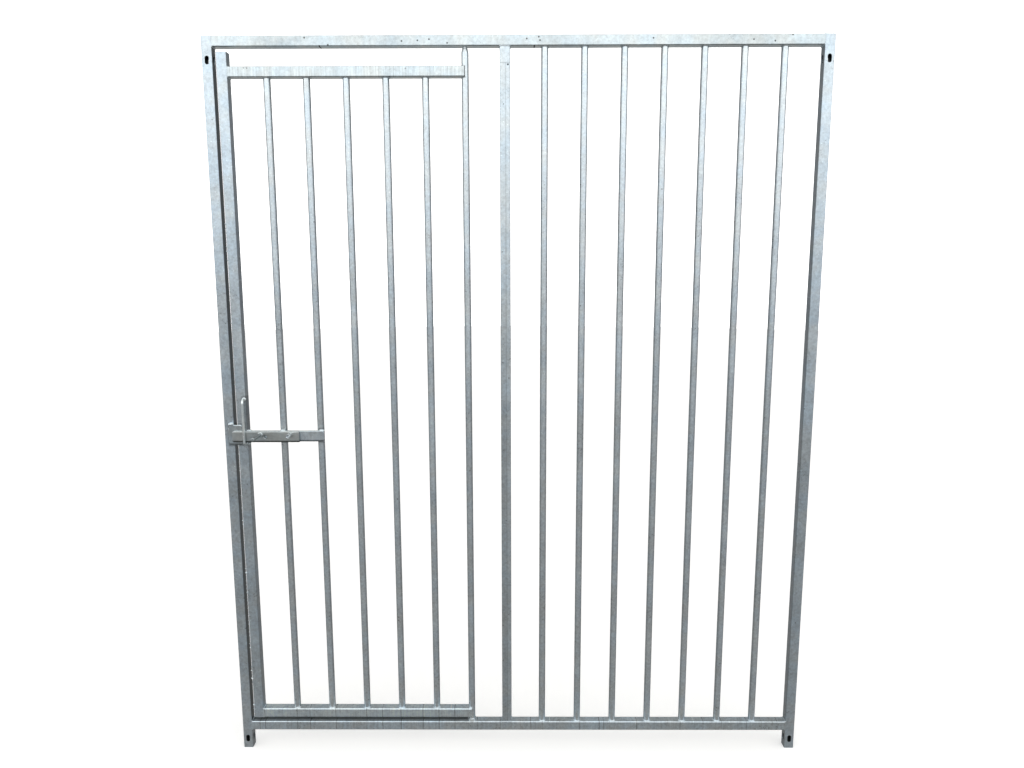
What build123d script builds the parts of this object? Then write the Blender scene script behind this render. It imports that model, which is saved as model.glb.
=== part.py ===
"""Kennel gate panel: a barred bay with an inset door that swings inwards, and a drop latch.

Millimetres, +Z up. X runs along the panel and +Y points into the run, the way the door opens.
The origin is on the ground, under the middle of the panel's overall width and depth.
"""

import os

from build123d import *

# Panel and tube stock
panel_width = 1500
panel_height = 1840
tube = 25  # square tube, outside
tube_wall = 1.5
tube_corner = 2.5  # outside corner radius of the square tube
bar_diameter = 17.2  # round tube bars
leg_length = 52  # stile below the bottom rail

# Uprights stand on one pitch, counted from the hinge bar
upright_pitch = 95.1
hinge_x = -125.5
fixed_bars = 7
door_bars = 5

# Linking slots in the stiles
slot_length = 20
slot_width = 10
slot_low = 27  # height of the lower slots' centre
slot_high = panel_height - 55

# Door
stile_gap = 8.5  # between the panel's stile and the door's stile
stile_top_gap = 11  # between the door's stile and the top rail
door_top_gap = 44  # between the door's top rail and the panel's top rail
door_bottom_gap = 12.5

# Hinge pins
pin_diameter = 12
running_clearance = 0.05  # radial, where a pin turns in a hole
spigot_length = 30  # length of each pin inside the hinge bar
taper_length = 9
collar_diameter = 22
collar_height = 3
thrust_washer_thickness = 1.8
thrust_gap = 0.2

# Latch
latch_height = 871.5  # centre line of the lever and of its backing flat
flat_height = 28
backing_thickness = 6
backing_overhang = 10  # past the centre of the second door bar
keeper_width = 34
keeper_height = 52
keeper_thickness = 4
keeper_inset = 12  # from the panel's outer side to the keeper
keeper_rise = 3.5  # keeper's centre above the latch's centre line
lever_thickness = 6
lever_gap = 0.5  # between the keeper and the lever
lever_end_x = -728
lever_length = 171
pivot_x = -579.5
pin_rise = 6  # pivot and finger above the lever's centre line
pivot_diameter = 8
finger_x = -656
finger_diameter = 9
finger_length = 58
lock_hole_x = -643
lock_hole_diameter = 9
bail_x = -695.5
bail_rod = 6.5
bail_top = 967  # centre line of the bail's upper leg
bail_bends = (5, 9)  # centre-line bend radii, at its foot and at its top
bail_slack = 1.5  # between the bail and the lever, in front and below
plate_round = 1.2  # on the front outline of the keeper, the flat and the lever
hole_chamfer = 0.8

half_width = panel_width / 2
half_tube = tube / 2
bar_radius = bar_diameter / 2
pin_radius = pin_diameter / 2
top_rail_low = panel_height - tube
bottom_rail_high = leg_length + tube
mid_post_x = hinge_x + upright_pitch

# Depths in front of the panel's middle plane, as positive distances
front_face = half_tube
backing_front = bar_radius + backing_thickness
keeper_front = front_face + keeper_thickness
lever_back = keeper_front + lever_gap
lever_front = lever_back + lever_thickness
finger_tip = lever_front + finger_length

# The panel's middle plane stands behind the origin by this much
middle_y = (finger_tip - half_tube) / 2

os.makedirs("parts", exist_ok=True)


def front(depth):
    """Upright plane that faces forwards, the given depth in front of the middle plane."""
    return Plane((0, middle_y - depth, 0), x_dir=(1, 0, 0), z_dir=(0, -1, 0))


def save(piece, name):
    """Label a finished piece and write it to its own file."""
    piece.part.label = name
    export_step(piece.part, f"parts/{name}.step")


def tube_section():
    """Square tube section, drawn in the current sketch."""
    bore = tube - 2 * tube_wall
    RectangleRounded(tube, tube, tube_corner)
    RectangleRounded(bore, bore, tube_corner - tube_wall, mode=Mode.SUBTRACT)


def upright_tube(x, low, high):
    """Square tube standing at x, in the current part."""
    with BuildSketch(Plane.XY.offset(low)) as section:
        with Locations((x, middle_y)):
            tube_section()
    extrude(section.sketch, amount=high - low)


def level_tube(z, left, right):
    """Square tube lying along X at height z, in the current part."""
    with BuildSketch(Plane.YZ.offset(left)) as section:
        with Locations((middle_y, z)):
            tube_section()
    extrude(section.sketch, amount=right - left)


def round_tube(x, low, high):
    """Round tube standing at x, in the current part."""
    with BuildSketch(Plane.XY.offset(low)) as section:
        with Locations((x, middle_y)):
            Circle(bar_radius)
            Circle(bar_radius - tube_wall, mode=Mode.SUBTRACT)
    extrude(section.sketch, amount=high - low)


def round_front(piece):
    """Round the outline of a plate's front face, as the zinc coat does."""
    fillet(piece.faces().sort_by(Axis.Y)[0].outer_wire().edges(), plate_round)


def slots(plane, across):
    """A slot near each end of a stile, cut through both walls that the plane stands between."""
    with BuildSketch(plane) as pair:
        with Locations((across, slot_low), (across, slot_high)):
            SlotOverall(slot_length, slot_width, rotation=90)
    extrude(pair.sketch, amount=tube, both=True, mode=Mode.SUBTRACT)


# ---- Panel frame: two stiles with slots through the faces and the sides ----
for side, name in ((-1, "frame_left_stile"), (1, "frame_right_stile")):
    stile_x = side * (half_width - half_tube)
    with BuildPart() as stile:
        upright_tube(stile_x, 0, panel_height)
        slots(front(0), stile_x)
        slots(Plane.YZ.offset(stile_x), middle_y)
    save(stile, name)

# Both rails butt between the stiles, and a hole in each takes a hinge pin
rail_end = half_width - tube
for name, low, pierced in (
    ("frame_top_rail", top_rail_low, top_rail_low),
    ("frame_bottom_rail", leg_length, bottom_rail_high - tube_wall),
):
    with BuildPart() as rail:
        level_tube(low + half_tube, -rail_end, rail_end)
        with Locations((hinge_x, middle_y, pierced + tube_wall / 2)):
            Cylinder(pin_radius + running_clearance, 2 * tube_wall, mode=Mode.SUBTRACT)
    save(rail, name)

# The middle post has a small vent hole near its top
vent_diameter = 4
vent_drop = 42
vent_side = 7.5  # right of the post's centre line
with BuildPart() as mid_post:
    upright_tube(mid_post_x, bottom_rail_high, top_rail_low)
    with BuildSketch(front(half_tube)):
        with Locations((mid_post_x + vent_side, top_rail_low - vent_drop)):
            Circle(vent_diameter / 2)
    extrude(amount=-half_tube, mode=Mode.SUBTRACT)
save(mid_post, "mid_post")

for number in range(1, fixed_bars + 1):
    with BuildPart() as fixed_bar:
        round_tube(mid_post_x + number * upright_pitch, bottom_rail_high, top_rail_low)
    save(fixed_bar, f"fixed_bar_{number}")

# The keeper plate is welded to the stile and overlaps the door, which it stops from in front
keeper_x = keeper_inset - half_width + keeper_width / 2
keeper_corner = 6
with BuildPart() as keeper_plate:
    with BuildSketch(front(front_face)):
        with Locations((keeper_x, latch_height + keeper_rise)):
            RectangleRounded(keeper_width, keeper_height, keeper_corner)
    extrude(amount=keeper_thickness)
    round_front(keeper_plate)
save(keeper_plate, "keeper_plate")

# ---- Door: latch stile, two rails and bars ----
door_stile_x = -half_width + tube + stile_gap + half_tube
door_rail_left = door_stile_x + half_tube
door_top_high = top_rail_low - door_top_gap
door_bottom_low = bottom_rail_high + door_bottom_gap

with BuildPart() as door_latch_stile:
    upright_tube(door_stile_x, door_bottom_low, top_rail_low - stile_top_gap)
save(door_latch_stile, "door_latch_stile")

# Each rail ends in a saddle cut, around the hinge bar
for name, low in (("door_top_rail", door_top_high - tube), ("door_bottom_rail", door_bottom_low)):
    with BuildPart() as door_rail:
        level_tube(low + half_tube, door_rail_left, hinge_x)
        with Locations((hinge_x, middle_y, low + half_tube)):
            Cylinder(bar_radius + running_clearance, 2 * tube, mode=Mode.SUBTRACT)
    save(door_rail, name)


def door_bar_x(number):
    """Place of a door bar, numbered from the latch side."""
    return hinge_x - (door_bars + 1 - number) * upright_pitch


for number in range(1, door_bars + 1):
    with BuildPart() as door_bar:
        round_tube(door_bar_x(number), door_bottom_low + tube, door_top_high - tube)
    save(door_bar, f"door_bar_{number}")

# ---- Hinge: the last bar of the door is a tube with a solid pin in each end ----
thrust_high = bottom_rail_high + thrust_washer_thickness
collar_low = thrust_high + thrust_gap
collar_high = collar_low + collar_height
top_shoulder = top_rail_low - 2 * tube_wall
taper_low = top_shoulder - taper_length
spigot_radius = bar_radius - tube_wall - running_clearance
pin_reach = 15  # each pin's length past its shoulder
upwards = (Align.CENTER, Align.CENTER, Align.MIN)
downwards = (Align.CENTER, Align.CENTER, Align.MAX)

with BuildPart() as hinge_bar:
    round_tube(hinge_x, collar_high, taper_low)
save(hinge_bar, "hinge_bar")

with BuildPart() as hinge_top_pin:
    with Locations((hinge_x, middle_y, taper_low)):
        Cylinder(spigot_radius, spigot_length, align=downwards)
        Cone(bar_radius, pin_radius, taper_length, align=upwards)
    with Locations((hinge_x, middle_y, top_shoulder)):
        Cylinder(pin_radius, pin_reach, align=upwards)
    chamfer(hinge_top_pin.edges().group_by(Axis.Z)[-1], 1)
save(hinge_top_pin, "hinge_top_pin")

with BuildPart() as hinge_bottom_pin:
    with Locations((hinge_x, middle_y, collar_high)):
        Cylinder(spigot_radius, spigot_length, align=upwards)
        Cylinder(collar_diameter / 2, collar_height, align=downwards)
    with Locations((hinge_x, middle_y, collar_low)):
        Cylinder(pin_radius, pin_reach, align=downwards)
    chamfer(hinge_bottom_pin.edges().group_by(Axis.Z)[0], 1)
save(hinge_bottom_pin, "hinge_bottom_pin")

with BuildPart() as hinge_washer:
    with BuildSketch(Plane.XY.offset(bottom_rail_high)):
        with Locations((hinge_x, middle_y)):
            Circle(pin_diameter)
            Circle(pin_radius + 2 * running_clearance, mode=Mode.SUBTRACT)
    extrude(amount=thrust_washer_thickness)
save(hinge_washer, "hinge_washer")

# ---- Latch carrier: a flat behind the lever, welded to the door's stile and to two bars ----
pivot_height = latch_height + pin_rise
flat_low = latch_height - flat_height / 2
backing_right = door_bar_x(2) + backing_overhang
flat_corner = 5

with BuildPart() as backing_flat:
    with BuildSketch(front(bar_radius)):
        with Locations((door_rail_left, flat_low)):
            outline = Rectangle(backing_right - door_rail_left, flat_height, align=Align.MIN)
        fillet(outline.vertices().group_by(Axis.X)[-1], flat_corner)
        with Locations((pivot_x, pivot_height)):
            Circle(pivot_diameter / 2 + running_clearance, mode=Mode.SUBTRACT)
    extrude(amount=backing_thickness)
    round_front(backing_flat)
save(backing_flat, "backing_flat")

# A bent rod on the stile holds the lever back, carries it and stops its lift
bail_front = lever_front + bail_slack + bail_rod / 2
bail_low = flat_low - bail_slack - bail_rod / 2
stile_front_y = middle_y - front_face
bail_route = (
    (bail_x, stile_front_y, bail_low),
    (bail_x, middle_y - bail_front, bail_low),
    (bail_x, middle_y - bail_front, bail_top),
    (bail_x, stile_front_y, bail_top),
)
with BuildPart() as guide_bail:
    with BuildLine() as bail_line:
        FilletPolyline(*bail_route, radius=bail_bends)
    with BuildSketch(Plane(bail_route[0], z_dir=(0, -1, 0))):
        Circle(bail_rod / 2)
    sweep(path=bail_line.line)
save(guide_bail, "guide_bail")

# Pivot: a hex bolt from behind, a washer under the lever and a long sleeve nut in front
bolt_head_flats = 13
bolt_head_height = 5.3
sleeve_diameter = 11
sleeve_length = 20
sleeve_back = lever_front + 0.3
bolt_end = sleeve_back + sleeve_length - 6
with BuildPart() as pivot_bolt:
    with BuildSketch(front(bar_radius)):
        with Locations((pivot_x, pivot_height)):
            RegularPolygon(bolt_head_flats / 2, 6, major_radius=False)
    extrude(amount=-bolt_head_height)
    with BuildSketch(front(bar_radius)):
        with Locations((pivot_x, pivot_height)):
            Circle(pivot_diameter / 2)
    extrude(amount=bolt_end - bar_radius)
    chamfer(pivot_bolt.edges().group_by(Axis.Y)[0], 0.8)
save(pivot_bolt, "pivot_bolt")

with BuildPart() as pivot_washer:
    with BuildSketch(front(backing_front)):
        with Locations((pivot_x, pivot_height)):
            Circle(pivot_diameter)
            Circle(pivot_diameter / 2 + 2 * running_clearance, mode=Mode.SUBTRACT)
    extrude(amount=lever_back - backing_front - 0.2)
save(pivot_washer, "pivot_washer")

with BuildPart() as sleeve_nut:
    with BuildSketch(front(sleeve_back)):
        with Locations((pivot_x, pivot_height)):
            Circle(sleeve_diameter / 2)
            Circle(pivot_diameter / 2 + running_clearance, mode=Mode.SUBTRACT)
    extrude(amount=sleeve_length)
    chamfer(sleeve_nut.edges().group_by(Axis.Y)[0], 0.6)
save(sleeve_nut, "sleeve_nut")

# ---- Drop lever with its lifting finger ----
with BuildPart() as latch_lever:
    with BuildSketch(front(lever_back)):
        with Locations((lever_end_x, flat_low)):
            outline = Rectangle(lever_length, flat_height, align=Align.MIN)
        fillet(outline.vertices().group_by(Axis.X)[0], flat_corner)
        with Locations((pivot_x, pivot_height)):
            Circle(pivot_diameter / 2 + running_clearance, mode=Mode.SUBTRACT)
        with Locations((lock_hole_x, latch_height)):
            Circle(lock_hole_diameter / 2, mode=Mode.SUBTRACT)
    extrude(amount=lever_thickness)
    round_front(latch_lever)
    hole_rims = latch_lever.faces().sort_by(Axis.Y)[0].inner_wires().edges()
    chamfer(hole_rims.sort_by(Axis.X)[0], hole_chamfer)
save(latch_lever, "latch_lever")

with BuildPart() as lift_finger:
    with BuildSketch(front(lever_front)):
        with Locations((finger_x, pivot_height)):
            Circle(finger_diameter / 2)
    extrude(amount=finger_length)
    fillet(lift_finger.edges().group_by(Axis.Y)[0], 1.5)
save(lift_finger, "lift_finger")
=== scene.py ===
# %% [markdown]
# # A galvanised kennel gate
#
# The gate is a welded steel panel: square tube for the frame, round tube for the bars, and an inset
# door with a drop latch. After welding, the whole thing was dipped in molten zinc. The CAD model gives
# every piece its exact shape, so this script adds what the CAD leaves out: the zinc skin, the weld
# beads, and the small lumps that the zinc left on one edge when the panel was lifted out of the bath.
#
# We start by loading the imported model. Its pieces never move here; what we make is placed from their
# boxes.

# %% Load the imported gate
import math

import bpy
from mathutils import Matrix, Vector


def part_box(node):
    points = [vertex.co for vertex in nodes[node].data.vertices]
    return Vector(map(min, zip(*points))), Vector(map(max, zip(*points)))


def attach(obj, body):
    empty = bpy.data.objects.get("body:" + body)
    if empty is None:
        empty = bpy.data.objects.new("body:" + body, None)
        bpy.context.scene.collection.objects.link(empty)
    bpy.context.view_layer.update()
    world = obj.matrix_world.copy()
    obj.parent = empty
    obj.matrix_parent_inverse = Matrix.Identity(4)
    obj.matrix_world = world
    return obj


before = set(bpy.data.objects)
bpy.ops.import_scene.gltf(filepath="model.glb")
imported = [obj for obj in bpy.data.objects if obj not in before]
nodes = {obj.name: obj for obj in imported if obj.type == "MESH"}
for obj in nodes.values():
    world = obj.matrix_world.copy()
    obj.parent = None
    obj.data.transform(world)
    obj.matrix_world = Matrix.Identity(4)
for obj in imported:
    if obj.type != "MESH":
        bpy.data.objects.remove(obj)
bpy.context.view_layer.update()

mm = 0.001

# %% [markdown]
# ## The camera
#
# A camera is placed by its distance, its height and its tilt. Here it stands about two metres in
# front of the gate, at chest height, and looks slightly down. The lens is a wide one, which is what
# makes the two stiles lean towards each other at the bottom. The gate's own middle plane is where we
# measure the distance from, because the latch makes the box deeper towards the front.

# %% Camera
stile_low, stile_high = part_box("frame_left_stile")
middle_y = (stile_low.y + stile_high.y) / 2

camera_distance = 1.932
camera_height = 1.311
camera_shift = -0.005
tilt_down = math.radians(9.04)
turn_left = math.radians(0.295)
roll = math.radians(-0.117)
sensor = 36
focal_length = 27.04

camera_data = bpy.data.cameras.new("camera")
camera_data.sensor_width = sensor
camera_data.lens = focal_length
camera = bpy.data.objects.new("camera", camera_data)
bpy.context.scene.collection.objects.link(camera)
aim = (
    Matrix.Rotation(turn_left, 3, "Z")
    @ Matrix.Rotation(math.pi / 2 - tilt_down, 3, "X")
    @ Matrix.Rotation(roll, 3, "Z")
)
camera.rotation_euler = aim.to_euler()
camera.location = (camera_shift, middle_y - camera_distance, camera_height)
bpy.context.scene.camera = camera
print("camera at", tuple(round(v, 3) for v in camera.location))

# %% [markdown]
# ## Writing node sums as Python
#
# A zinc skin is many layers of noise, and wiring each Math node by hand hides what the layers do.
# So one small class wraps a socket and gives it the usual operators: `1 - mask` then adds the Math
# node for us. Each operator has its reflected form too, for when the number stands on the left.


# %% A socket in Python sums
class Value:
    """A socket that takes part in Python sums."""

    def __init__(self, graph, socket):
        self.graph = graph
        self.socket = socket

    def _math(self, operation, a, b, clamp=False):
        settings = {"operation": operation, "use_clamp": clamp}
        return self.graph.node("ShaderNodeMath", settings, {0: a, 1: b})

    def __add__(self, other):
        return self._math("ADD", self, other)

    def __radd__(self, other):
        return self._math("ADD", other, self)

    def __sub__(self, other):
        return self._math("SUBTRACT", self, other)

    def __rsub__(self, other):
        return self._math("SUBTRACT", other, self)

    def __mul__(self, other):
        return self._math("MULTIPLY", self, other)

    def __rmul__(self, other):
        return self._math("MULTIPLY", other, self)

    def above(self, level):
        return self._math("GREATER_THAN", self, level)

    def below(self, level):
        return self._math("LESS_THAN", self, level)

    def clamped(self):
        return self._math("ADD", self, 0.0, clamp=True)


# %% [markdown]
# ## Adding any other node
#
# The second class holds a node tree. Its method `node` adds a node of any type: its settings come
# first, because they can change which sockets there are, and then the values or links of its
# sockets. Colours go through Mix nodes, because a Math node would turn them grey. The same two
# classes serve the materials, the sky and the Geometry Nodes further down.


# %% A tree of nodes
class Graph:
    """A node tree, with a short way to add nodes to it."""

    def __init__(self, tree):
        self.tree = tree
        self.tree.nodes.clear()

    def node(self, kind, settings, inputs, output=0):
        """Add a node, apply its settings, then its input values or links."""
        made = self.tree.nodes.new(kind)
        for key, value in settings.items():
            if key == "stops":
                self._stops(made.color_ramp, value)
            else:
                setattr(made, key, value)
        for key, value in inputs.items():
            self.feed(made.inputs[key], value)
        return Value(self, made.outputs[output])

    def _stops(self, ramp, stops):
        while len(ramp.elements) < len(stops):
            ramp.elements.new(0.5)
        for element, (position, level) in zip(ramp.elements, stops):
            element.position = position
            element.color = (level, level, level, 1)

    def feed(self, socket, value):
        if isinstance(value, Value):
            self.tree.links.new(value.socket, socket)
        else:
            socket.default_value = value

    def remap(self, value, low, high, to_low=0.0, to_high=1.0, smooth=False):
        """Move a value from one range to another, stopping at its ends."""
        settings = {"clamp": True, "interpolation_type": "SMOOTHSTEP" if smooth else "LINEAR"}
        inputs = {"Value": value, 1: low, 2: high, 3: to_low, 4: to_high}
        return self.node("ShaderNodeMapRange", settings, inputs)

    def mix(self, amount, first, second):
        """Blend two colours, from the first at 0 to the second at 1."""
        return self.node("ShaderNodeMix", {"data_type": "RGBA"}, {0: amount, 6: first, 7: second}, 2)

    def axis(self, vector, index):
        return self.node("ShaderNodeSeparateXYZ", {}, {0: vector}, index)

    def unsigned(self, value):
        """A value without its sign."""
        return self.node("ShaderNodeMath", {"operation": "ABSOLUTE"}, {0: value})


# %% [markdown]
# ## The zinc skin
#
# Hot-dip zinc freezes in crystals, the spangle, whose faces catch the light differently. Over the
# years it dulls unevenly, first in clouds and then in fine specks. Where the zinc ran off while it was
# still liquid, it left streaks down the face, and on a level tube also a few thin dark lines across.
# Here and there a speck of ash left a small dark pit. The shade where two pieces are close, on faces
# that turn aside and under the latch plates is painted in, and so are a few highlights.
#
# All finishes on the gate are the same metal, so one function makes them all, and its arguments say
# how a piece differs. The patterns read Object coordinates, which are metres on this model: that
# keeps a spangle of 9 mm at 9 mm on every piece. A streak is the same noise, squeezed to be fine
# across the tube and long in its height.


# %% Patterns on metal
class Finish(Graph):
    """The node tree of one material, with a Principled shader at its end."""

    def __init__(self, name):
        self.material = bpy.data.materials.new(name)
        self.material.use_nodes = True
        super().__init__(self.material.node_tree)
        self.shader = self.tree.nodes.new("ShaderNodeBsdfPrincipled")
        output = self.tree.nodes.new("ShaderNodeOutputMaterial")
        self.tree.links.new(self.shader.outputs["BSDF"], output.inputs["Surface"])
        self.place = self.node("ShaderNodeTexCoord", {}, {}, "Object")

    def stretched(self, scale):
        """Object coordinates, scaled along each axis."""
        return self.node("ShaderNodeMapping", {}, {"Vector": self.place, "Scale": scale})

    def noise(self, scale, detail=3.0, rough=0.5, vector=None):
        """Soft random levels from 0 to 1; a larger scale makes them finer."""
        inputs = {"Vector": vector or self.place, "Scale": scale, "Detail": detail, "Roughness": rough}
        return self.node("ShaderNodeTexNoise", {}, inputs, "Fac")

    def crystals(self, size):
        """One number from 0 to 1 for each crystal of the spangle."""
        inputs = {"Vector": self.place, "Scale": 1 / size}
        colour = self.node("ShaderNodeTexVoronoi", {}, inputs, "Color")
        return self.node("ShaderNodeSeparateColor", {}, {0: colour}, 0)

    def facing(self, index):
        """How far the surface looks along one axis, from -1 to 1."""
        normal = self.node("ShaderNodeTexCoord", {}, {}, "Normal")
        return self.axis(normal, index)

    def finish(self, **inputs):
        """Feed the shader's sockets and hand over the material."""
        for name, value in inputs.items():
            self.feed(self.shader.inputs[name.replace("_", " ")], value)
        return self.material


# %% [markdown]
# ## Marks in the zinc
#
# A mark is a function that gives 1 where it is full and 0 where there is none. Some marks belong to a
# place, such as the painted shade beside the door or the dent in the post, and are measured from the
# boxes of the CAD pieces. Others are scattered, such as the pits and the bright specks: a Voronoi
# texture cuts the face into cells, each cell has one point, and only some of the cells are chosen to
# show it.

# %% Distances and spots
face_reach = 0.5 * mm
top_rail_low, top_rail_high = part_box("frame_top_rail")
rail_height = top_rail_high.z - top_rail_low.z
print("rail height:", round(rail_height / mm, 1), "mm")


def away(g, axis, level):
    """Distance from a plane, on one axis."""
    return g.unsigned(g.axis(g.place, axis) - level)


def voronoi(g, dimensions, inputs):
    """The distance to the nearest cell's point, and the cell's random colour."""
    settings = {"voronoi_dimensions": dimensions}
    distance = g.node("ShaderNodeTexVoronoi", settings, inputs, "Distance")
    return distance, Value(g, distance.socket.node.outputs["Color"])


def spots(g, spacing, radius, share):
    """Round spots on the faces that look forwards and back, one in some of the cells."""
    height = g.axis(g.place, 2) - top_rail_low.z
    flat = g.node("ShaderNodeCombineXYZ", {}, {0: g.axis(g.place, 0), 1: height})
    distance, colour = voronoi(g, "2D", {"Vector": flat, "Scale": 1 / spacing})
    # Red and green follow the point's place in its cell, so blue makes the fair choice
    chosen = g.node("ShaderNodeSeparateColor", {}, {0: colour}, 2).above(1 - share)
    core = 0.6 * radius / spacing
    rim = 1.3 * radius / spacing
    return g.remap(distance, core, rim, 1, 0) * chosen


# %% Scattered marks
line_spacing = 58 * mm
print("cross lines about", round(line_spacing / mm), "mm apart")


def pits(g):
    """Dark pits, one row of cells along a rail."""
    return spots(g, spacing=rail_height, radius=1.9 * mm, share=0.2)


def few_pits(g):
    """Small dark pits, far apart."""
    return spots(g, spacing=60 * mm, radius=1.5 * mm, share=0.09)


def bright_specks(g):
    """Small splashes of bright zinc, close together."""
    return spots(g, spacing=17 * mm, radius=1.3 * mm, share=0.22)


def cross_lines(g):
    """Thin dark lines across a level tube, at uneven spacing and broken in places."""
    along = g.axis(g.place, 0) * (1 / line_spacing)
    distance = voronoi(g, "1D", {"W": along, "Scale": 1.0})[0]
    thin = g.remap(distance, 0.010, 0.024, 1, 0)
    return thin * g.remap(g.noise(24, detail=2), 0.38, 0.58, 0.3, 1)


def cloudy(g):
    """Wide dull patches along a rail."""
    return g.remap(g.noise(5, detail=4, rough=0.6), 0.42, 0.62, 0, 1, smooth=True)


# %% Places on the stiles and rails
stile_middle = abs(stile_low.x + stile_high.x) / 2
bore_half = (stile_high.x - stile_low.x) / 2 - 1.2 * mm
floor_rail_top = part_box("frame_bottom_rail")[1].z
door_rail_low, door_rail_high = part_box("door_top_rail")
print("bore:", round(2 * bore_half / mm, 1), "mm, floor rail's top at", round(floor_rail_top / mm), "mm")


def painted_bore_shade(g):
    """The bore of an upright stile, painted dark as the shade inside the tube."""
    across = g.unsigned(g.axis(g.place, 0))
    side = g.unsigned(across - stile_middle)
    return side.below(bore_half) * away(g, 1, middle_y).below(bore_half)


def painted_shade_beside_door(g):
    """The stile's inner side, painted dark as the shade in the narrow gap next to the door."""
    side = away(g, 0, stile_high.x).below(face_reach)
    depth = g.remap(g.axis(g.place, 1), stile_low.y + 1.5 * mm, stile_low.y + 5 * mm)
    return side * depth * g.axis(g.place, 2).above(floor_rail_top)


def painted_shade_under_door(g):
    """The lower rail's top side, painted dark as the shade under the door."""
    top = away(g, 2, floor_rail_top).below(face_reach)
    depth = g.remap(g.axis(g.place, 1), stile_low.y + 4 * mm, stile_low.y + 13 * mm)
    return top * depth * g.axis(g.place, 0).below(door_rail_high.x)


# %% Places on the post and on the door's rail
post_low, post_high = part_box("mid_post")
post_middle = (post_low.x + post_high.x) / 2
dent_height = post_high.z - 38 * mm
shade_full = 0.9
shade_gone = 1.2
print("dent in the post at", round(dent_height / mm), "mm")


def post_seam(g):
    """The welded seam down the post's tube."""
    ridge = g.remap(away(g, 0, post_middle + 1.5 * mm), 0.5 * mm, 2.2 * mm, 1, 0)
    return ridge * g.axis(g.place, 2).below(dent_height)


def post_dent(g):
    """A line across the post, a little below the top rail."""
    return g.remap(away(g, 2, dent_height), 0.7 * mm, 2 * mm, 1, 0)


def post_shade(g):
    """The duller left side of the post's lower half."""
    left = g.remap(g.axis(g.place, 0) - post_middle, -7 * mm, 7 * mm, 1, 0, smooth=True)
    return left * g.remap(g.axis(g.place, 2), shade_full, shade_gone, 1, 0, smooth=True)


def rail_end_shadow(g):
    """The joint where the door's top rail ends on the hinge bar, painted dark as the shadow of the
    rail's end.
    """
    end = g.remap(away(g, 0, door_rail_high.x), 1 * mm, 2.4 * mm, 1, 0)
    return end * g.axis(g.place, 2).above(door_rail_low.z)


# %% Painted shade and highlights on faces, edges and outlines
def painted_side_shade(g):
    """The faces that look left and right, painted darker than the front and back as shade."""
    return g.remap(g.unsigned(g.facing(0)), 0.45, 0.95, smooth=True)


def painted_underside_light(g):
    """The underside of a high rail, painted brighter as if the pale ground lit it from below."""
    return g.remap(g.facing(2), -0.9, -0.5, 1, 0, smooth=True)


def painted_shadow_rim(piece, reach):
    """A mark on what lies behind a piece: a soft rim of painted shadow round its outline."""
    low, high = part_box(piece)
    middle = (low + high) / 2
    half = (high - low) / 2
    full = 0.3 * reach

    def rim(g):
        across = g.remap(away(g, 0, middle.x), half.x + full, half.x + reach, 1, 0)
        upright = g.remap(away(g, 2, middle.z), half.z + full, half.z + reach, 1, 0)
        return across * upright

    return rim


def painted_edge_highlight(piece):
    """A mark along a plate's upper edge, painted bright as a highlight."""
    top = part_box(piece)[1].z
    return lambda g: g.remap(g.axis(g.place, 2), top - 3.4 * mm, top - 2 * mm)


def painted_edge_shade(piece):
    """A mark along a plate's lower edge, painted dark as the shade under it."""
    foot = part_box(piece)[0].z
    return lambda g: g.remap(g.axis(g.place, 2), foot + 2.6 * mm, foot + 5.5 * mm, 1, 0)


# %% [markdown]
# ## One recipe for every finish
#
# The recipe takes a colour, the strength of each noise layer, and a list of marks. Each mark is one
# of the functions above with a share: 0.3 takes 30% of the light away where the mark is full, and a
# negative share makes the place brighter. Multiplying them keeps any mix of marks within bounds.


# %% The recipe
spangle_size = 9 * mm
cloud_scale = 11
speck_scale = 150
tint_scale = 23
streak_scale = (230, 60, 12)
metal_share = 0.92
print("spangle:", round(spangle_size / mm), "mm")


def zinc(name, colour, spangle, clouds, specks, streaks=0.0, marks=(), roughness=0.32, bump=0.2):
    """A zinc finish: its colour, how strongly each layer shows, and its marks."""
    g = Finish(name)
    crystal = g.crystals(spangle_size)
    cloud = g.noise(cloud_scale, detail=5, rough=0.62)
    speck = g.noise(speck_scale, detail=4, rough=0.75)
    shade = 1 + (crystal - 0.5) * spangle + (cloud - 0.5) * clouds + (speck - 0.5) * specks
    height = cloud * 0.4 + speck * 0.4 + crystal * 0.2
    if streaks:
        streak = g.noise(1.0, detail=4, rough=0.65, vector=g.stretched(streak_scale))
        shade = shade + (streak - 0.5) * streaks
        height = height + streak * 0.4
    for mark, share in marks:
        shade = shade * (1 - mark(g) * share)
    # Part of the surface is a touch bluer than the rest
    cooler = (colour[0] * 0.93, colour[1] * 0.99, colour[2] * 1.05, 1)
    tint = g.mix(g.remap(g.noise(tint_scale, detail=3), 0.35, 0.65), (*colour, 1), cooler)
    painted = g.node("ShaderNodeVectorMath", {"operation": "SCALE"}, {0: tint, "Scale": shade})
    gloss = roughness + (speck - 0.5) * 0.2 + (cloud - 0.5) * 0.16
    normal = g.node("ShaderNodeBump", {}, {"Strength": bump, "Distance": 0.5 * mm, "Height": height})
    return g.finish(Base_Color=painted, Roughness=gloss.clamped(), Metallic=metal_share, Normal=normal)


# %% [markdown]
# ## The finishes of this gate
#
# The zinc is not equally dull all over. The upper rails are neutral and streaky, the post and the
# stiles a little bluer, and the latch is the darkest, except its bent rod, whose pale colour is painted
# light. We could paint one finish by height, but the pieces were cut from different tubes and differ
# at their joints too. So each kind of piece gets a colour, the strength of its layers, and its own list
# of marks.

# %% Finishes of the square tubes
pale = (0.665, 0.722, 0.742)
bright = (bright_specks, -0.3)
# The duller sides are painted shade, and the brighter undersides painted light
side_shade_mark = (painted_side_shade, 0.4)
lit_below = (painted_underside_light, -0.38)

# On the stiles, the dark bore, the gap beside the door and the rims round the keeper and the rod are
# painted shade
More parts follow.
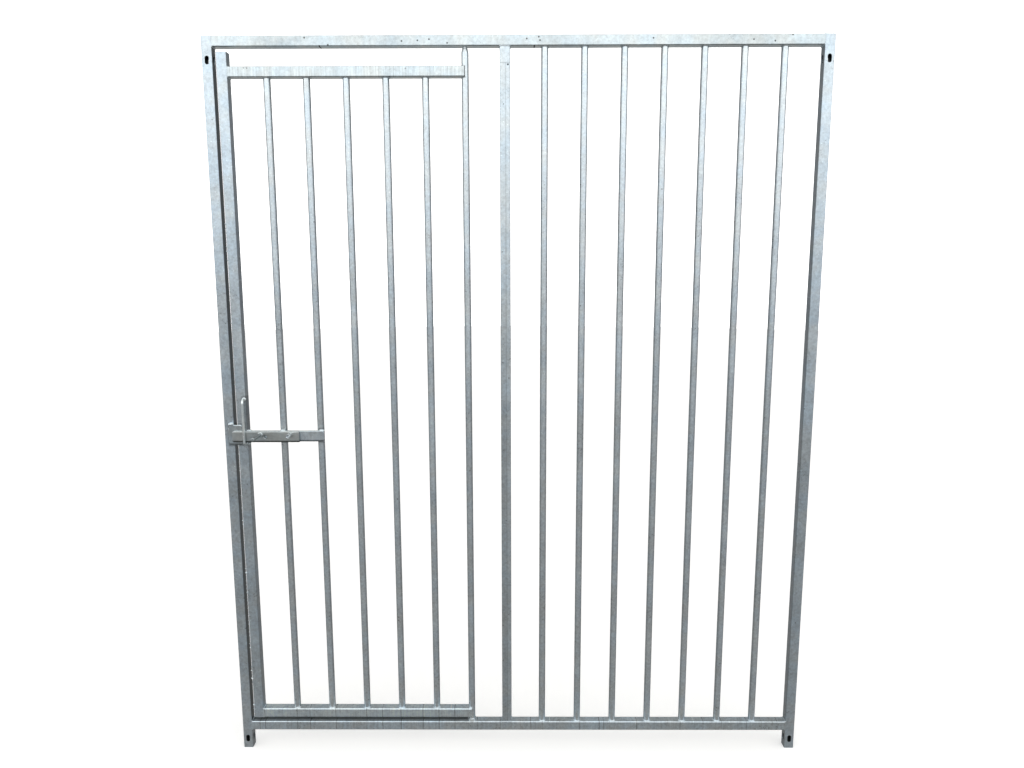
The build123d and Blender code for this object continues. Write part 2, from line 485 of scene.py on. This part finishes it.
stile_zinc = zinc(
    "stile_zinc", (0.645, 0.715, 0.765), spangle=0.1, clouds=0.46, specks=0.85,
    marks=(
        (few_pits, 0.6), bright, side_shade_mark, (painted_bore_shade, 0.94), (painted_shade_beside_door, 0.62),
        (painted_shadow_rim("keeper_plate", 5 * mm), 0.45), (painted_shadow_rim("guide_bail", 7 * mm), 0.36),
    ),
)
post_zinc = zinc(
    "post_zinc", (0.67, 0.735, 0.775), spangle=0.1, clouds=0.42, specks=0.85,
    marks=(
        (few_pits, 0.6), bright, side_shade_mark, (post_seam, 0.2), (post_dent, 0.24), (post_shade, 0.14),
    ),
)
top_zinc = zinc(
    "top_zinc", pale, spangle=0.1, clouds=0.45, specks=0.85,
    marks=((pits, 0.95), (cloudy, 0.18), lit_below),
)
# The dark line at this rail's end is a painted shadow, and the brighter underside painted light
door_top_zinc = zinc(
    "door_top_zinc", pale, spangle=0.12, clouds=0.3, specks=0.6, streaks=0.9,
    marks=((pits, 0.5), (rail_end_shadow, 0.85), lit_below),
)
# The dark strip on the rail's top side under the door is painted shade
rail_zinc = zinc(
    "rail_zinc", (0.69, 0.76, 0.80), spangle=0.12, clouds=0.45, specks=0.8, streaks=0.5,
    marks=((cross_lines, 0.5), (few_pits, 0.5), bright, (painted_shade_under_door, 0.78)),
)
door_rail_zinc = zinc(
    "door_rail_zinc", (0.80, 0.88, 0.92), spangle=0.14, clouds=0.5, specks=0.6, streaks=0.6,
    marks=((cross_lines, 0.55), bright),
)
print("finishes of the square tubes made")

# %% Finishes of the bars and the latch
# On the bars, the duller sides and the rim below the backing flat are painted shade
bar_zinc = zinc(
    "bar_zinc", (0.74, 0.80, 0.835), spangle=0.08, clouds=0.45, specks=0.8, streaks=0.2,
    marks=((few_pits, 0.7), bright, (painted_side_shade, 0.34), (painted_shadow_rim("backing_flat", 7 * mm), 0.45)),
)
# On the latch plates, the bright upper edge is a painted highlight and the dark lower edge is painted
# shade
keeper_zinc = zinc(
    "keeper_zinc", (0.57, 0.62, 0.64), spangle=0.1, clouds=0.3, specks=0.5,
    marks=((painted_edge_highlight("keeper_plate"), -0.5), (painted_edge_shade("keeper_plate"), 0.6)),
)
flat_zinc = zinc(
    "flat_zinc", (0.68, 0.75, 0.80), spangle=0.2, clouds=0.4, specks=0.5, streaks=0.3,
    marks=((painted_edge_highlight("backing_flat"), -0.3), (painted_edge_shade("backing_flat"), 0.75)),
)
# The rod's pale colour is painted light, standing in for the light it catches
rod_zinc = zinc("rod_zinc", (0.92, 0.96, 0.95), spangle=0.06, clouds=0.2, specks=0.4)
finger_zinc = zinc(
    "finger_zinc", (0.44, 0.48, 0.49), spangle=0.05, clouds=0.3, specks=0.5, bump=0.4,
)
lever_zinc = zinc(
    "lever_zinc", (0.47, 0.50, 0.50), spangle=0.03, clouds=0.3, specks=0.4, roughness=0.42,
    marks=((painted_edge_highlight("latch_lever"), -0.45), (painted_edge_shade("latch_lever"), 0.82)),
)
fastener_zinc = zinc(
    "fastener_zinc", (0.76, 0.8, 0.82), spangle=0.04, clouds=0.1, specks=0.3, roughness=0.33,
)
weld_zinc = zinc(
    "weld_zinc", (0.76, 0.81, 0.83), spangle=0.04, clouds=0.2, specks=0.4, roughness=0.36, bump=0.5,
)
print("finishes of the bars and the latch made")

# %% [markdown]
# ## Dress the CAD pieces
#
# Each CAD piece already has the right shape, so it keeps its mesh and only changes its material.
# Names say what a piece is, so a short list of words is enough to choose the finish.

# %% Give each CAD piece its finish
finishes = (
    ("door_top_rail", door_top_zinc),
    ("frame_top_rail", top_zinc),
    ("door_bottom_rail", door_rail_zinc),
    ("rail", rail_zinc),
    ("stile", stile_zinc),
    ("post", post_zinc),
    ("bar", bar_zinc),
    ("keeper", keeper_zinc),
    ("backing", flat_zinc),
    ("bail", rod_zinc),
    ("lever", lever_zinc),
    ("finger", finger_zinc),
)
for name, piece in nodes.items():
    chosen = next((finish for word, finish in finishes if word in name), fastener_zinc)
    for slot in piece.material_slots:
        slot.material = chosen
print("finishes given to", len(nodes), "pieces")

# %% [markdown]
# ## Where the welds run
#
# The panel holds together by welds. Round each bar's foot runs a small fillet, the rails are welded
# to the stiles at their ends, and the latch parts have short, thick lumps. We write each weld as a
# line of points in space, with the width of its bead, and keep one list for each body, because the
# door's welds must turn with the door. All places come from the boxes of the CAD pieces.


# %% Seam lists
def centre(name):
    """The middle of a piece's box."""
    low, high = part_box(name)
    return (low + high) / 2


ring_steps = 12


def ring(middle, radius, width, sweep=360):
    """Points on a level circle, or on part of one that starts at the front."""
    points = []
    for step in range(ring_steps + 1):
        angle = math.radians(sweep * step / ring_steps)
        across = Vector((math.sin(angle), -math.cos(angle), 0)) * radius
        points.append(middle + across)
    return points, width


def standing_ring(middle, radius, width):
    """Points on a circle that faces forwards."""
    turns = [math.tau * step / ring_steps for step in range(ring_steps + 1)]
    points = [middle + Vector((math.cos(turn), 0, math.sin(turn))) * radius for turn in turns]
    return points, width


def line(start, end, width):
    """A straight seam."""
    return [Vector(start), Vector(end)], width


def square(middle, half, width):
    """Points round the end of a square tube."""
    corners = ((-half, -half), (half, -half), (half, half), (-half, half), (-half, -half))
    return [middle + Vector((x, y, 0)) for x, y in corners], width


# %% Seams of the bars and rails
front_y = stile_low.y
back_y = stile_high.y
foot_bead = 3.4 * mm
rail_bead = 3.2 * mm
flush_depth = 1.35 * mm
print("bead widths:", round(foot_bead / mm, 1), "and", round(rail_bead / mm, 1), "mm")


def bar_feet(bars, upper, lower):
    """Fillets at both ends of the bars, on the faces of two rails."""
    rings = []
    for bar in bars:
        low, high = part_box(bar)
        radius = (high.x - low.x) / 2
        for height in (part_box(upper)[0].z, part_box(lower)[1].z):
            middle = Vector((centre(bar).x, middle_y, height))
            rings.append(ring(middle, radius + 0.8 * mm, foot_bead))
    return rings


def rail_end(rail, x):
    """The welds round a rail's end, where it meets the side of an upright."""
    low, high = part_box(rail)
    seams = []
    for height in (low.z, high.z):
        seams.append(line((x, front_y + 2 * mm, height), (x, back_y - 2 * mm, height), rail_bead))
    for depth in (front_y + flush_depth, back_y - flush_depth):
        seams.append(line((x, depth, low.z), (x, depth, high.z), rail_bead))
    return seams


# %% Seams of the frame and the door
fixed_bars = [name for name in nodes if name.startswith("fixed_bar_")]
door_bars = [name for name in nodes if name.startswith("door_bar_")]
door_low, door_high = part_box("door_latch_stile")

frame_seams = bar_feet(fixed_bars, "frame_top_rail", "frame_bottom_rail")
inner_x = stile_high.x
for rail in ("frame_top_rail", "frame_bottom_rail"):
    frame_seams += rail_end(rail, inner_x) + rail_end(rail, -inner_x)
for height in (post_low.z, post_high.z):
    foot = Vector((centre("mid_post").x, middle_y, height))
    frame_seams.append(square(foot, (post_high.x - post_low.x) / 2, rail_bead))

door_seams = bar_feet(door_bars, "door_top_rail", "door_bottom_rail")
hinge = centre("hinge_bar")
hinge_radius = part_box("hinge_bar")[1].x - hinge.x
for rail in ("door_top_rail", "door_bottom_rail"):
    door_seams += rail_end(rail, door_high.x)
    for height in (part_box(rail)[0].z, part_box(rail)[1].z):
        middle = Vector((hinge.x, middle_y, height))
        door_seams.append(ring(middle, hinge_radius + 0.5 * mm, foot_bead, sweep=-180))
print("seams:", len(frame_seams), "on the frame,", len(door_seams), "on the door")

# %% [markdown]
# ## Lumps at the latch
#
# The small parts of the latch were tacked on by hand. The keeper plate has one thick lump at its top
# corner, the flat bar behind the lever is tacked where it crosses the stile and two bars, and the
# bent rod stands on two rings of weld. The finger has a neat ring at its root. Each of them is one
# more line or ring on the lists, only with a wider bead.

# %% Latch seams
keeper_low, keeper_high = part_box("keeper_plate")
lump = 10 * mm
tack = 6 * mm
plate_y = front_y - 2 * mm
round_corner = 9 * mm

lump_start = (keeper_low.x + 4 * mm, plate_y, keeper_high.z + 1 * mm)
lump_end = (inner_x - 3 * mm, plate_y - 1 * mm, keeper_high.z + 2 * mm)
side_start = (keeper_low.x, plate_y, keeper_high.z - round_corner)
side_end = (keeper_low.x, plate_y, keeper_low.z + round_corner)
foot_start = (keeper_low.x + 5 * mm, plate_y, keeper_low.z)
foot_end = (inner_x - 4 * mm, plate_y, keeper_low.z)
frame_seams += [
    line(lump_start, lump_end, lump),
    line(side_start, side_end, rail_bead),
    line(foot_start, foot_end, foot_bead),
]

flat_low, flat_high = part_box("backing_flat")
flat_y = flat_high.y - 1 * mm
half_tack = 4 * mm
tacked_at = (flat_low.x + 3 * mm, centre("door_bar_1").x, centre("door_bar_2").x + 5 * mm)
for x in tacked_at:
    for height, width in ((flat_high.z, tack), (flat_low.z, foot_bead)):
        door_seams.append(line((x - half_tack, flat_y, height), (x + half_tack, flat_y, height), width))
print("keeper and flat tacked")

# %% Seams of the rod and the finger
bail_low, bail_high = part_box("guide_bail")
bail_x = centre("guide_bail").x
bail_radius = (bail_high.x - bail_low.x) / 2
for height in (bail_low.z + bail_radius, bail_high.z - bail_radius):
    middle = Vector((bail_x, front_y, height))
    door_seams.append(standing_ring(middle, bail_radius + 0.6 * mm, foot_bead))
drop_start = (bail_x + 6 * mm, front_y, bail_low.z)
drop_end = (bail_x + 9 * mm, front_y, bail_low.z + 3 * mm)
door_seams.append(line(drop_start, drop_end, tack))

finger = centre("lift_finger")
finger_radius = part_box("lift_finger")[1].x - finger.x
finger_root = Vector((finger.x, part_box("latch_lever")[0].y, finger.z))
latch_seams = [standing_ring(finger_root, finger_radius + 0.5 * mm, rail_bead)]
print("rod and finger welded")

# %% [markdown]
# ## Nodules on the door's edge
#
# When the door was lifted out of the bath, zinc ran to its free edge and froze there in small
# nodules. They could be set one by one by hand, but all they need is a line to sit on. So two more
# seams run down the edge, a coarse one below the latch and a finer one above it. They get a list of
# their own, because nodules want wider steps and more uneven sizes than a weld.

# %% Nodule lines
nodule = 5 * mm
small_nodule = 0.8 * nodule
edge_y = front_y + 1.2 * mm


def edge_line(low, high, width):
    """A line down the door's free edge, between two heights."""
    return line((door_low.x, edge_y, low), (door_low.x, edge_y, high), width)


nodule_seams = [
    edge_line(door_low.z + 3 * mm, keeper_low.z - 3 * mm, nodule),
    edge_line(keeper_high.z + 60 * mm, door_high.z - 400 * mm, small_nodule),
]
print("lines of nodules:", len(nodule_seams))

# %% [markdown]
# ## Weld beads with Geometry Nodes
#
# A weld bead is a row of small molten puddles, each lapping over the last. We could model one bead
# and bend it, but there are dozens of seams of every shape. Geometry Nodes can do them all alike: the
# seam lines become curves, the curves are cut into even steps, and at each step sits a small blob,
# turned and scaled at random from a fixed seed. Each seam carries its own width as an attribute. The
# blobs are then melted together: a volume is filled with them and skinned again, which gives one
# closed, smooth bead instead of a string of pearls, as a coat of zinc does on the real weld. With
# wide steps and sizes that differ more, the same tree gives the scattered nodules.


# %% Tree helpers
def new_tree(name, inputs):
    """A geometry node tree with named inputs, and the node that gives their values."""
    tree = bpy.data.node_groups.new(name, "GeometryNodeTree")
    graph = Graph(tree)
    tree.interface.new_socket("Geometry", in_out="INPUT", socket_type="NodeSocketGeometry")
    for label, kind in inputs:
        tree.interface.new_socket(label, in_out="INPUT", socket_type=kind)
    tree.interface.new_socket("Geometry", in_out="OUTPUT", socket_type="NodeSocketGeometry")
    source = tree.nodes.new("NodeGroupInput")
    given = {socket.name: Value(graph, socket) for socket in source.outputs if socket.name}
    return graph, given


def close_tree(graph, geometry, material):
    """End a tree: real geometry, smooth, with its material."""
    real = graph.node("GeometryNodeRealizeInstances", {}, {0: geometry})
    smooth = graph.node("GeometryNodeSetShadeSmooth", {}, {0: real})
    painted = graph.node("GeometryNodeSetMaterial", {}, {"Geometry": smooth, "Material": material})
    output = graph.tree.nodes.new("NodeGroupOutput")
    graph.tree.links.new(painted.socket, output.inputs[0])


def random_vector(graph, low, high, seed):
    """Three random numbers for each point."""
    limits = {0: (low,) * 3, 1: (high,) * 3, "Seed": seed}
    return graph.node("FunctionNodeRandomValue", {"data_type": "FLOAT_VECTOR"}, limits)


# %% The bead tree, from seams to steps
bead, given = new_tree("weld_beads", (
    ("Step", "NodeSocketFloat"),
    ("Smallest", "NodeSocketFloat"),
    ("Largest", "NodeSocketFloat"),
    ("Melt", "NodeSocketFloat"),
    ("Seed", "NodeSocketInt"),
    ("Material", "NodeSocketMaterial"),
))
seam_curves = bead.node("GeometryNodeMeshToCurve", {}, {0: given["Geometry"]})
places = bead.node("GeometryNodeResampleCurve", {"mode": "LENGTH"}, {
    "Curve": seam_curves, "Length": given["Step"],
})
puddle = bead.node("GeometryNodeMeshUVSphere", {}, {"Segments": 8, "Rings": 5, "Radius": 0.5})
print("seams are cut into steps")

# %% The size and turn of each blob
smallest = given["Smallest"]
seam_width = bead.node("GeometryNodeInputNamedAttribute", {"data_type": "FLOAT"}, {"Name": "width"})
uneven = random_vector(bead, 0.0, 1.0, given["Seed"])
stretch = bead.node("ShaderNodeVectorMath", {"operation": "SCALE"}, {
    0: uneven, "Scale": given["Largest"] - smallest,
})
base = bead.node("ShaderNodeCombineXYZ", {}, {0: smallest, 1: smallest, 2: smallest})
total = bead.node("ShaderNodeVectorMath", {"operation": "ADD"}, {0: stretch, 1: base})
sized = bead.node("ShaderNodeVectorMath", {"operation": "SCALE"}, {0: total, "Scale": seam_width})
turned = random_vector(bead, 0.0, math.tau, given["Seed"] + 1)
blobs = bead.node("GeometryNodeInstanceOnPoints", {}, {
    "Points": places, "Instance": puddle, "Rotation": turned, "Scale": sized,
})
print("blobs are placed")

# %% Melt the blobs together
solid = bead.node("GeometryNodeRealizeInstances", {}, {0: blobs})
melted = bead.node("GeometryNodeMeshToVolume", {"resolution_mode": "VOXEL_SIZE"}, {
    "Mesh": solid, "Voxel Size": given["Melt"], "Interior Band Width": given["Melt"] * 3,
})
skin = bead.node("GeometryNodeVolumeToMesh", {"resolution_mode": "VOXEL_SIZE"}, {
    "Volume": melted, "Voxel Size": given["Melt"], "Threshold": 0.1, "Adaptivity": 0.2,
})
close_tree(bead, skin, given["Material"])
print("bead tree has", len(bead.tree.nodes), "nodes")

# %% [markdown]
# ## From seams to meshes
#
# The seam list becomes a mesh of edges, the modifier turns that into beads, and the evaluated result
# is copied into a plain mesh. Only then is the piece given to its body, because a part that moves
# has to be a plain mesh. The sizes go in through the tree's inputs, which the modifier knows by their
# identifiers, so the beads and the nodules need no second tree.


# %% Seams as edges, and the grower
def seam_mesh(name, seams):
    """A mesh of edges that carries each seam's width."""
    points, edges, widths = [], [], []
    for path, width in seams:
        first = len(points)
        points += path
        widths += [width] * len(path)
        edges += [(first + i, first + i + 1) for i in range(len(path) - 1)]
    mesh = bpy.data.meshes.new(name)
    mesh.from_pydata(points, edges, [])
    mesh.attributes.new("width", "FLOAT", "POINT").data.foreach_set("value", widths)
    return mesh


def grow(name, body, source, graph, values):
    """Run a tree on a source mesh, keep the plain result, and let it ride on a body."""
    worker = bpy.data.objects.new(name + "_source", source)
    bpy.context.scene.collection.objects.link(worker)
    modifier = worker.modifiers.new("nodes", "NODES")
    modifier.node_group = graph.tree
    for item in graph.tree.interface.items_tree:
        if item.in_out == "INPUT" and item.name in values:
            modifier[item.identifier] = values[item.name]
    evaluated = worker.evaluated_get(bpy.context.evaluated_depsgraph_get())
    mesh = bpy.data.meshes.new_from_object(evaluated)
    bpy.data.objects.remove(worker)
    mesh.name = name
    piece = bpy.data.objects.new(name, mesh)
    bpy.context.scene.collection.objects.link(piece)
    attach(piece, body)
    print(name, "rides on", body, "with", len(mesh.polygons), "faces")


# %% Grow the beads and the nodules
bead_sizes = {
    "Step": 1.6 * mm, "Smallest": 0.8, "Largest": 1.2, "Melt": 0.6 * mm, "Seed": 3,
    "Material": weld_zinc,
}
nodule_sizes = {
    "Step": 11 * mm, "Smallest": 0.1, "Largest": 1.5, "Melt": 0.5 * mm, "Seed": 8,
    "Material": weld_zinc,
}
for body, seams in (("frame", frame_seams), ("door", door_seams), ("latch", latch_seams)):
    grow(body + "_welds", body, seam_mesh(body + "_seams", seams), bead, bead_sizes)
grow("door_nodules", "door", seam_mesh("door_edge", nodule_seams), bead, nodule_sizes)

# %% [markdown]
# ## Floor and light
#
# Bare metal shows what is around it. A vertical zinc face seen from chest height mirrors the sky near
# its top and the ground near its foot, and that is why a gate outdoors is pale above and grey below.
# Lamps would put hard spots on so many thin bars, so the light comes from a sky instead. It is bright
# above and dim below the horizon, and darker behind the gate. The plain floor and backdrop are there
# for the camera only: the metal isn't lit by them and doesn't mirror them.


# %% Stage helpers
def stage_material(name, colour, glow):
    material = bpy.data.materials.new(name)
    material.use_nodes = True
    shader = material.node_tree.nodes["Principled BSDF"]
    shader.inputs["Base Color"].default_value = (*colour, 1)
    shader.inputs["Roughness"].default_value = 0.9
    shader.inputs["Emission Color"].default_value = (*colour, 1)
    shader.inputs["Emission Strength"].default_value = glow
    return material


def hide_from_metal(obj):
    """The camera sees this object, but the metal neither mirrors it nor is lit by it."""
    obj.visible_diffuse = False
    obj.visible_glossy = False


# %% The sky
sky_strength = 1.75
# Each pair is a height, from 0 straight down to 1 straight up, and how bright the sky is there
front_levels = (
    (0.00, 0.02), (0.10, 0.05), (0.19, 0.150), (0.34, 0.134), (0.41, 0.119), (0.46, 0.165),
    (0.50, 0.30), (0.54, 0.58), (0.60, 0.86), (0.68, 1.00), (0.85, 0.72), (1.00, 0.55),
)
back_levels = (
    (0.00, 0.10), (0.30, 0.16), (0.38, 0.20), (0.46, 0.15), (0.58, 0.20), (0.70, 0.11),
    (0.84, 0.14), (0.95, 0.55),
)
high_tint = (1.0, 0.995, 0.97, 1)
level_tint = (0.985, 1.0, 1.005, 1)
low_tint = (1.02, 0.985, 0.925, 1)
ground_band = (0.22, 0.45)
horizon_band = (0.51, 0.60)
side_band = (-0.55, 0.5)

world = bpy.data.worlds.new("sky")
bpy.context.scene.world = world
world.use_nodes = True
sky = Graph(world.node_tree)
toward = sky.node("ShaderNodeTexCoord", {}, {}, "Generated")
rise = sky.axis(toward, 2) * 0.5 + 0.5
front_light = sky.node("ShaderNodeValToRGB", {"stops": front_levels}, {0: rise})
back_light = sky.node("ShaderNodeValToRGB", {"stops": back_levels}, {0: rise})
behind = sky.remap(sky.axis(toward, 1), *side_band, smooth=True)
light = sky.mix(behind, front_light, back_light)
lower_tint = sky.mix(sky.remap(rise, *ground_band), low_tint, level_tint)
sky_tint = sky.mix(sky.remap(rise, *horizon_band), lower_tint, high_tint)
tinted = sky.mix(1.0, light, sky_tint)
tinted.socket.node.blend_type = "MULTIPLY"
sky_output = sky.tree.nodes.new("ShaderNodeOutputWorld")
lit = sky.node("ShaderNodeBackground", {}, {"Color": tinted, "Strength": sky_strength})
sky.tree.links.new(lit.socket, sky_output.inputs["Surface"])
print("sky has", len(sky.tree.nodes), "nodes")

# %% Backdrop and floor
stage_radius = 14
bpy.ops.mesh.primitive_circle_add(vertices=64, radius=stage_radius, fill_type="NGON")
floor = bpy.context.object
floor.name = "floor"
floor.data.materials.append(stage_material("floor_paint", (0.9, 0.9, 0.9), 0.35))
hide_from_metal(floor)
bpy.ops.mesh.primitive_uv_sphere_add(segments=48, ring_count=24, radius=stage_radius)
backdrop = bpy.context.object
backdrop.name = "backdrop"
backdrop.data.materials.append(stage_material("backdrop_paint", (1, 1, 1), 1.0))
hide_from_metal(backdrop)
backdrop.visible_shadow = False
print("the stage reaches", stage_radius, "m from the gate")

bpy.context.scene.view_settings.view_transform = "Standard"
